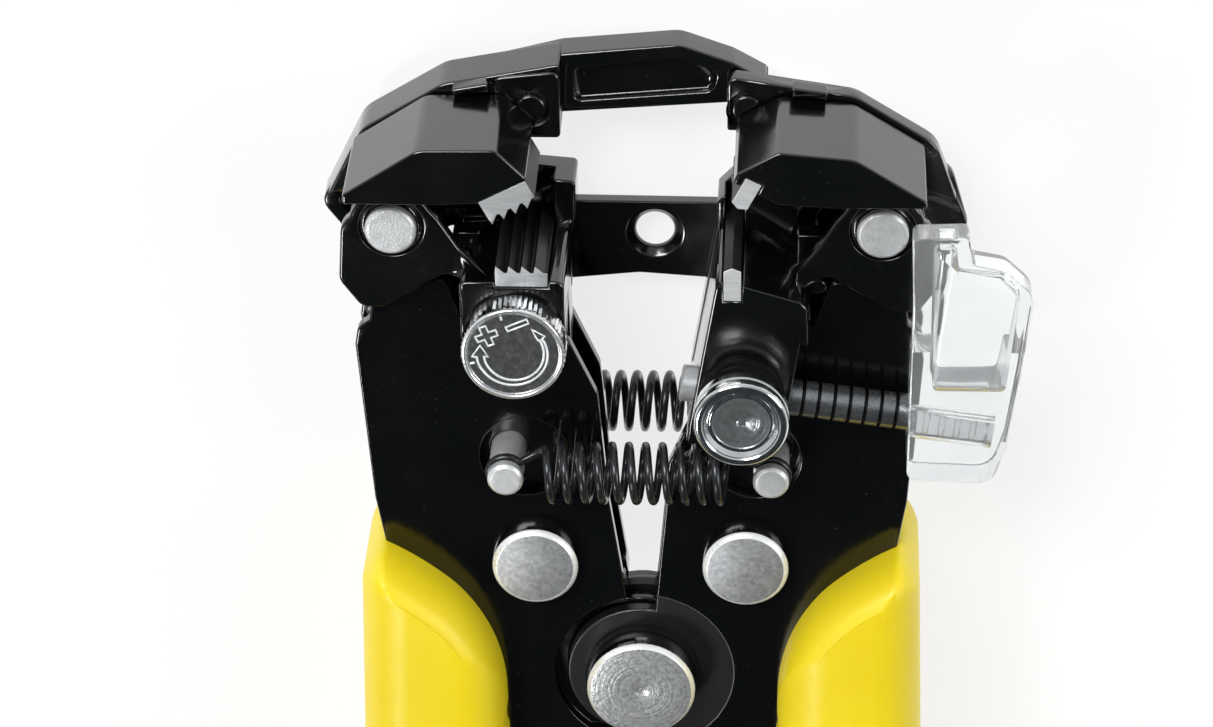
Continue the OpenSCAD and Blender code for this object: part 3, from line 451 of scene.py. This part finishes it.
def spin_line(bm, points, centre, steps):
    """Spins a line of points a full turn about the upright axis through the centre."""
    verts = [bm.verts.new(point) for point in points]
    edges = [bm.edges.new(pair) for pair in zip(verts, verts[1:])]
    bmesh.ops.spin(bm, geom=verts + edges, cent=centre, axis=(0, 0, 1), angle=2 * pi, steps=steps, use_merge=True)
    bmesh.ops.remove_doubles(bm, verts=bm.verts, dist=MERGE)


def rounded_corner(r, z, radius, start, turn=90, steps=4):
    """Points of a round edge on a turned profile, centred at r, z."""
    angles = [radians(start + turn * i / steps) for i in range(steps + 1)]
    return [(r + radius * cos(a), z + radius * sin(a)) for a in angles]


def tube(name, lines, radius, sides=3):
    """Round wire along lines of points given in mm from the pivot."""
    data = bpy.data.curves.new(name, "CURVE")
    data.dimensions = "3D"
    data.bevel_depth = radius * MM
    data.bevel_resolution = sides
    data.use_fill_caps = True
    for points, closed in lines:
        spline = data.splines.new("POLY")
        spline.points.add(len(points) - 1)
        for knot, point in zip(spline.points, points):
            knot.co = (*at(*point), 1)
        spline.use_cyclic_u = closed
    holder = bpy.data.objects.new(name + "_line", data)
    bpy.context.scene.collection.objects.link(holder)
    bpy.context.view_layer.update()
    mesh = bpy.data.meshes.new_from_object(holder.evaluated_get(bpy.context.evaluated_depsgraph_get()))
    bpy.data.objects.remove(holder)
    mesh.name = name
    piece = bpy.data.objects.new(name, mesh)
    bpy.context.scene.collection.objects.link(piece)
    for face in mesh.polygons:
        face.use_smooth = True
    return piece


def add_detail(piece, body, finish):
    piece.data.materials.clear()
    piece.data.materials.append(FINISHES[finish])
    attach(piece, body)


def tension_knob():
    """Knurled chrome knob with a rounded rim, a sunk face and raised marks; the rim and the marks are painted
    brighter than the chrome, a painted highlight.
    """
    low, high, outer, knurl_low, knurl_high, knurls = 8.6, 11.7, 4.82, 9.05, 11.2, 58
    face, knurl_depth = high - 0.24, 0.17

    def knurl(bm):
        for vert in bm.verts:
            place = (vert.co - PIVOT) / MM
            spoke = Vector((place.x - KNOB[0], place.y - KNOB[1]))
            if knurl_low - 0.01 < place.z < knurl_high + 0.01 and spoke.length > 4.5:
                step = round(spoke.angle_signed(Vector((1, 0))) * knurls / pi)
                if step % 2:
                    vert.co -= Vector((spoke.x, spoke.y, 0)).normalized() * knurl_depth * MM

    profile = [(0, low), (outer - 0.35, low), (outer - 0.1, low + 0.2), (outer, knurl_low), (outer, knurl_high),
               (outer - 0.12, knurl_high + 0.12), (outer - 0.1, knurl_high + 0.2)]
    profile += rounded_corner(outer - 0.34, high - 0.22, 0.22, 20, 150, 6)
    profile += [(outer - 0.62, high - 0.2), (outer - 0.68, face), (0, face)]
    knob = lathe("tension_knob", KNOB, profile, "chrome", 2 * knurls, knurl)
    paint(knob, "knob_face", lambda c, n: n.z > 0.9 and (c - Vector((*KNOB, c.z))).length < 3.9)
    # The rim's sloping faces take the brighter copy of the chrome, a painted highlight
    paint(knob, "rim_highlight", lambda c, n: 0.1 < n.z < 0.999 and c.z > knurl_high + 0.1)

    def marked(points):
        return [(KNOB[0] + x, KNOB[1] + y, face) for x, y in points]

    def turned_mark(points, place, angle):
        c, s = cos(radians(angle)), sin(radians(angle))
        return marked([(place[0] + x * c - y * s, place[1] + x * s + y * c) for x, y in points])

    def tick(angle):
        return marked([(r * cos(radians(angle)), r * sin(radians(angle))) for r in (3.65, 4.05)])

    arm, half = 1.0, 0.3
    cross = [(half, half), (half, arm), (-half, arm), (-half, half), (-arm, half), (-arm, -half), (-half, -half),
             (-half, -arm), (half, -arm), (half, -half), (arm, -half), (arm, half)]
    dash = [(-1.05, -0.24), (-1.05, 0.24), (1.05, 0.24), (1.05, -0.24)]
    # The arrow's shaft narrows from its large head to its small one
    shaft_radius, wide, narrowing = 3.0, 0.34, 0.2
    sweep = [radians(a) for a in range(186, 392, 5)]
    spread = [wide - narrowing * i / (len(sweep) - 1) for i in range(len(sweep))]
    outer_arc = [((shaft_radius + w) * cos(a), (shaft_radius + w) * sin(a)) for a, w in zip(sweep, spread)]
    inner_arc = [((shaft_radius - w) * cos(a), (shaft_radius - w) * sin(a)) for a, w in zip(sweep, spread)]
    head = [(-3.75, -0.3), (-2.98, 0.85), (-2.25, -0.3)]
    tail = [(2.3, 1.45), (1.75, 2.6), (2.95, 1.9)]
    arrow = outer_arc + tail[::-1] + inner_arc[::-1] + head[::-1]
    lines = [(turned_mark(cross, (-2.35, 1.85), 22), True), (turned_mark(dash, (0.45, 3.0), 24), True),
             (marked(arrow), True), (tick(105), False), (tick(195), False)]
    marks = tube("knob_marks", lines, 0.12, 2)
    # The marks take the near-white finish, a painted highlight
    add_detail(marks, "knob", "mark_highlight")


def stop_button():
    """Polished button: round rim, a step, a sloping dish and a turned face with a centre dimple."""
    profile = [(0, 8.95), (1.5, 8.95), (1.5, 10.6), (3.3, 10.6), (3.6, 10.75), (3.75, 11.1), (4.05, 11.25)]
    profile += rounded_corner(3.97, 11.75, 0.4, -75, 75, 4)
    profile += [(4.37, 12.55), (4.25, 12.7), (4.25, 12.85), (4.37, 13)]
    profile += rounded_corner(3.87, 13.5, 0.5, 0, 90, 6)
    profile += [(3.62, 13.97), (3.5, 13.86), (3.4, 13.86), (3.05, 13.45), (2.9, 13.42), (2.85, 13.5), (2.7, 13.5),
                (2.6, 13.4), (0.5, 13.36), (0.4, 13.3), (0.25, 13.34), (0, 13.36)]
    button = lathe("stop_button", BUTTON, profile, "chrome", 112)
    paint(button, "button_face", lambda c, n: n.z > 0.6 and (c - Vector((*BUTTON, c.z))).length < 2.65)


def rivets():
    """Headed rivets with satin faces, chamfers painted near white as a painted highlight and sides painted dark as
    a painted shade.
    """
    chamfer_low, chamfer_high = 0.3, 0.95
    for side, sign in (("left", -1), ("right", 1)):
        centre = (10 * sign, 13)
        half = [(0, 5.6), (3.62, 5.6), (3.7, 5.57), (4.02, 5.22), (4.08, 5.12), (4.08, 3.6), (2.6, 3.6)]
        rivet = lathe(side + "_arm_rivet", centre, half + [(r, -z) for r, z in half[::-1]], "arm_rivet")
        # Chamfers painted near white, a painted highlight; sides painted dark, a painted shade
        paint(rivet, "mark_highlight", lambda c, n: chamfer_low < abs(n.z) < chamfer_high)
        paint(rivet, "shaded_wall", lambda c, n: abs(n.z) < chamfer_low)
    dimple = [(0, 6.84), (0.25, 6.8), (0.45, 6.86), (0.6, 6.95), (0.9, 7)]
    half = [(4.7, 7), (4.82, 6.97), (5.14, 6.62), (5.2, 6.5), (5.2, 4.4), (3.2, 4.4)]
    profile = dimple + half + [(r, -z) for r, z in half[::-1]] + [(0, -7)]
    rivet = lathe("pivot_rivet", (0, 0), profile, "rivet", 112)
    paint(rivet, "pivot_face", lambda c, n: abs(n.z) > 0.6 and Vector((c.x, c.y)).length < 4.9)
    # Chamfer painted near white, a painted highlight; sides painted dark, a painted shade
    paint(rivet, "mark_highlight", lambda c, n: chamfer_low < abs(n.z) <= chamfer_high and Vector((c.x, c.y)).length > 4.7)
    paint(rivet, "shaded_wall", lambda c, n: abs(n.z) <= chamfer_low)


def stop_rod():
    """Ground rod with dark locking grooves, in line with the bore of the right arm."""
    start, turn, length, radius = (4, 34, 6.1), -8.02, 29, 1.7
    lead, groove_pitch, grooves, floor = 1.2, 1.45, 18, radius - 0.3
    profile = [(0, 0), (radius - 0.15, 0), (radius, 0.15)]
    for i in range(1, grooves + 1):
        y = lead + groove_pitch * i
        profile += [(radius, y - 0.17), (floor, y - 0.12), (floor, y + 0.12), (radius, y + 0.17)]
    profile += [(radius, length - 0.4), (radius - 0.4, length), (0, length)]
    bm = bmesh.new()
    spin_line(bm, [(r * MM, 0, y * MM) for r, y in profile], (0, 0, 0), 64)
    bmesh.ops.recalc_face_normals(bm, faces=bm.faces)
    in_bore = Matrix.Translation(at(*start)) @ Matrix.Rotation(radians(turn), 4, "Z")
    place = in_bore @ Matrix.Rotation(pi / 2, 4, "Y")
    bmesh.ops.transform(bm, matrix=place, verts=bm.verts)
    smooth_faces(bm, 30)
    rod = new_piece("stop_rod_turned", bm)
    stand_for(rod, "stop_rod", "rod")
    axis = place.to_3x3() @ Vector((0, 0, 1))

    def in_groove(centre, normal):
        along = centre - Vector(start)
        return (along - axis * along.dot(axis)).length < radius - 0.06 and abs(normal.dot(axis)) < 0.99

    stop_side = (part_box("length_stop")[0].x - PIVOT.x) / MM + 0.4
    paint(rod, "groove", in_groove)
    paint(rod, "clear", lambda c, n: c.x > stop_side)
    paint(rod, "blade", lambda c, n: c.x < start[0] + 3)


def springs():
    """Hooked coil springs in round wire, front and rear, each in a left and a right half."""
    post_x, post_y, axis_z, coil_r, wire_r, turns, half = 12.4, 24.4, 6.7, 2.6, 0.4, 11, 8.6
    hook_r = 1.6
    steps = turns * 20
    coil = []
    for i in range(steps + 1):
        a = pi * turns * i / steps
        coil.append((half * i / steps, post_y - coil_r * cos(a), -coil_r * sin(a)))
    hook = [(half + 0.45, post_y + 2.25, 0.25), (half + 1, post_y + 1.85, 0.2)]
    for degrees in range(140, -170, -14):
        a = radians(degrees)
        hook.append((post_x + hook_r * cos(a), post_y + hook_r * sin(a), 0))
    for name, face in (("front_spring", 1), ("rear_spring", -1)):
        for side, sign in (("left", -1), ("right", 1)):
            line = [(sign * x, y, face * (axis_z + sign * z)) for x, y, z in coil + hook]
            wire = tube(name + "_" + side, [(line, False)], wire_r, 3)
            wire.data.materials.append(FINISHES["wire"])
            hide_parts(name)
            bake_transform(wire)


def arm_web(side, sign, pin):
    """Cast web that closes the corner between housing and jaw, with a round-headed pin on the right one."""
    low, high, rounding = -1, 1.2, 0.25
    outline = [(14.6, 40.4), (17.5, 40.4), (17.6, 44.5), (17.1, 46.9), (14.6, 46.9)]
    bm = bmesh.new()
    base = bm.faces.new([bm.verts.new(at(sign * x, y, low)) for x, y in outline])
    grown = bmesh.ops.extrude_face_region(bm, geom=[base])
    raised = [v for v in grown["geom"] if isinstance(v, bmesh.types.BMVert)]
    bmesh.ops.translate(bm, vec=(0, 0, (high - low) * MM), verts=raised)
    bmesh.ops.recalc_face_normals(bm, faces=bm.faces)
    bmesh.ops.bevel(bm, geom=bm.edges[:], offset=rounding * MM, affect="EDGES", segments=3, profile=0.5,
                    material=-1)
    if pin:
        x, y, radius, top, head = 16.6, 43.1, 0.8, 4.2, 0.3
        profile = [(0, low + 0.2), (radius, low + 0.2)] + rounded_corner(radius - head, top - head, head, 0)
        profile += [(0, top)]
        spin_line(bm, [at(x + r, y, z) for r, z in profile], at(x, y, 0), 32)
        bmesh.ops.recalc_face_normals(bm, faces=bm.faces)
    smooth_faces(bm, 32)
    add_detail(new_piece(side + "_arm_web", bm), side + "_arm", "casting")


def spline_through(points, steps=5):
    """Smooth line through the points."""
    line = []
    for i in range(len(points) - 1):
        before, start, end, after = (Vector(points[max(0, min(len(points) - 1, i + k))]) for k in (-1, 0, 1, 2))
        for k in range(steps):
            t = k / steps
            line.append(0.5 * (2 * start + (end - before) * t + (2 * before - 5 * start + 4 * end - after) * t * t
                               + (3 * start - before - 3 * end + after) * t ** 3))
    return line + [Vector(points[-1])]


def lofted(rings):
    """Closed solid extruded from ring to ring, each of equally many points in mm from the pivot."""
    bm = bmesh.new()
    row = [bm.verts.new(at(*point)) for point in rings[0]]
    end = bm.faces.new(row)
    for ring in rings[1:]:
        grown = bmesh.ops.extrude_face_region(bm, geom=[end, *end.edges, *end.verts])["geom"]
        end = next(part for part in grown if isinstance(part, bmesh.types.BMFace))
        raised = set(end.verts)
        row = [next(edge.other_vert(vert) for edge in vert.link_edges if edge.other_vert(vert) in raised)
               for vert in row]
        for vert, point in zip(row, ring):
            vert.co = at(*point)
    bmesh.ops.recalc_face_normals(bm, faces=bm.faces)
    return bm


def cut_with(piece, cutter):
    """Cuts a shape out of the piece for good."""
    tool = new_piece(piece.name + "_cutter", cutter)
    modifier = piece.modifiers.new("cut", "BOOLEAN")
    modifier.operation = "DIFFERENCE"
    modifier.solver = "EXACT"
    modifier.object = tool
    made_mesh(piece)
    bpy.data.objects.remove(tool)


def grip(side, sign):
    """Moulded grip with a smooth rounded mouth, on the CAD grip's own curves."""
    reach, half_w, half_t, edge, top = 142, 7, 9.8, 5, 17
    around, along, ledge = 64, 110, 12
    tip = 7  # length over which the closed end rounds in

    def middle(y):
        return 20 + (0.0072 * (-5 - y) ** 1.6 if y < -5 else 0)

    def section(y):
        d = max(0, tip - (y + reach)) / tip
        scale = max(0.3, (1 - d * d) ** 0.5)
        swell = 0.35 * cos(radians((y + 20) * 3.2)) + 0.45 * sin(radians((-y - 30) * 1.4))
        a = (half_w + swell) * scale
        b = (half_t + 0.2) * (0.45 + 0.55 * scale)
        r = min(edge, a - 0.5)
        ring = []
        for k in range(around):
            q = radians((k + 0.5) * 360 / around)
            sx, sz = (1 if cos(q) > 0 else -1), (1 if sin(q) > 0 else -1)
            z = sz * (b - r) + r * sin(q)
            ring.append((sign * (middle(y) + sx * (a - r) + r * cos(q)), y, max(z, -half_t)))
        return ring

    heights = [top - (top + reach) * (1 - (1 - i / along) ** 1.3) for i in range(along + 1)]
    mouth = spline_through([(31, 4), (27.4, 9.8), (26, 13), (24.7, 14.6), (23.4, 14.2), (20.9, 12.6), (18.3, 10.5),
                            (16.6, 8.6), (15.1, 6.2), (14, 3.6), (13.3, 0.6), (13.05, -2.6), (13, -6), (10, -9.5)])
    front = spline_through([(31, 1.5), (26.4, 8.4), (24.9, 10.7), (24, 11.6), (22.9, 11.3), (21, 10), (19, 8.2),
                            (17.6, 6.4), (16.4, 4.2), (15.5, 1.8), (14.9, -1), (14.7, -3.8), (14.6, -6.8),
                            (11, -11)])
    around_plates = [(0, -11), (0, 40), (50, 40), (50, 1.5)]
    levels = [-half_t - 2] + [-half_t + edge - edge * i / ledge for i in range(ledge, -1, -1)]
    levels += [half_t - edge + edge * i / ledge for i in range(ledge + 1)] + [half_t + 2]
    cutter = []
    for z in levels:
        f = min(1, max(0, abs(z) - half_t + edge) / edge)
        share = 1 - (1 - f * f) ** 0.5
        line = [tuple(p.lerp(q, share)) for p, q in zip(mouth, front)]
        cutter.append([(sign * x, y, z) for x, y in line + around_plates])
    piece = new_piece(side + "_grip_moulded", lofted([section(y) for y in heights]))
    cut_with(piece, lofted(cutter))
    bm = bmesh.new()
    bm.from_mesh(piece.data)
    bmesh.ops.remove_doubles(bm, verts=bm.verts, dist=2.5 * MERGE)
    smooth_faces(bm, 40)
    bm.to_mesh(piece.data)
    bm.free()
    stand_for(piece, side + "_grip", "grip")


def stage():
    """Pale floor that shows white to the camera, in metal and through the clear stop, and keeps a faint shadow."""
    bm = bmesh.new()
    bmesh.ops.create_grid(bm, x_segments=1, y_segments=1, size=3)
    bmesh.ops.translate(bm, verts=bm.verts, vec=(0, 0, -0.0002))
    floor = new_piece("floor", bm)
    material, tree, shader = new_material("pale_floor")
    set_inputs(tree, shader, {"Base Color": (0.88, 0.88, 0.88, 1), "Roughness": 0.9})
    path = tree.nodes.new("ShaderNodeLightPath")
    glossy = path.outputs["Is Glossy Ray"]
    seen = add_node(tree, "Math", {0: path.outputs["Is Camera Ray"], 1: glossy}, "MAXIMUM")
    clear_seen = add_node(tree, "Math", {0: seen.outputs[0], 1: path.outputs["Is Transmission Ray"]}, "MAXIMUM")
    share = add_node(tree, "Math", {0: clear_seen.outputs[0], 1: 0.8}, "MULTIPLY")
    strength = add_node(tree, "Math", {0: glossy, 1: 0.25, 2: 1.0}, "MULTIPLY_ADD")
    glow = add_node(tree, "Emission", {"Strength": strength.outputs[0]})
    mix = add_node(tree, "MixShader", {"Fac": share.outputs[0], 1: shader.outputs[0], 2: glow.outputs[0]})
    tree.links.new(mix.outputs[0], tree.nodes["Material Output"].inputs["Surface"])
    floor.data.materials.append(material)


LIGHT_TARGET = (0, 0.05, 0)


def soft_light(name, place, size, watts):
    data = bpy.data.lights.new(name, "AREA")
    data.shape = "RECTANGLE"
    data.size, data.size_y = size
    data.energy = watts
    light = bpy.data.objects.new(name, data)
    aim = (Vector(LIGHT_TARGET) - Vector(place)).to_track_quat("-Z", "Y")
    light.matrix_world = Matrix.Translation(Vector(place)) @ aim.to_matrix().to_4x4()
    bpy.context.scene.collection.objects.link(light)


def lights():
    """Bright sides and a dark patch of sky where the front faces look, so that they stay black."""
    world = bpy.data.worlds.new("studio")
    world.use_nodes = True
    tree = world.node_tree
    place = tree.nodes.new("ShaderNodeTexCoord")
    toward = add_node(tree, "VectorMath", {0: place.outputs["Generated"], 1: (0, -0.5, 0.866)}, "DOT_PRODUCT")
    sky = ramp(tree, toward.outputs["Value"], 0.15, 0.72, (0.75, 0.77, 0.78), (0.035, 0.042, 0.045))
    studio = tree.nodes["Background"]
    set_inputs(tree, studio, {"Color": sky, "Strength": 0.8})
    backdrop = add_node(tree, "Background", {"Color": (0.95, 0.95, 0.95, 1)})
    path = tree.nodes.new("ShaderNodeLightPath")
    mix = add_node(tree, "MixShader", {"Fac": path.outputs["Is Camera Ray"], 1: studio.outputs[0],
                                       2: backdrop.outputs[0]})
    tree.links.new(mix.outputs[0], tree.nodes["World Output"].inputs["Surface"])
    bpy.context.scene.world = world
    soft_light("key", (-0.35, 0.75, 0.75), (0.5, 0.35), 9)
    soft_light("fill", (0.8, 0.25, 0.6), (0.4, 0.5), 4)
    soft_light("low", (-0.5, -0.35, 0.75), (0.2, 0.2), 3.5)


bpy.context.scene.view_settings.view_transform = "Standard"
photo_camera()
stage()
lights()
dress_nodes()

for side, sign, plate in (("left", -1, "plate"), ("right", 1, "hub_plate")):
    softened(side + "_arm", "casting", 0.26, 0.9)
    softened(side + "_upper_jaw", "casting", 0.24, 1.0)
    grip(side, sign)
    arm_web(side, sign, side == "right")
    softened(side + "_jaw_rivet", "rivet", 0.06)
    softened(side + "_spring_post", "rivet", 0.06)
    softened(side + "_crimp_bar", "bar", 0.15)
    softened(side + "_bar_rivets", "rivet", 0.06)
    for face in ("front", "rear"):
        softened(side + "_lever_" + face, plate, 0.22, 0.5)
softened("guide_bridge", "casting", 0.25, 0.6)
softened("length_stop", "clear", 0.2)
for name in ("lower_grip_insert", "upper_grip_insert", "lower_blade", "upper_blade"):
    ground = softened(name, "oxide", 0.05)
    paint(ground, "blade" if name.endswith("insert") else "honed", lambda c, n: n.z > 0.7)
tension_knob()
stop_button()
rivets()
stop_rod()
springs()
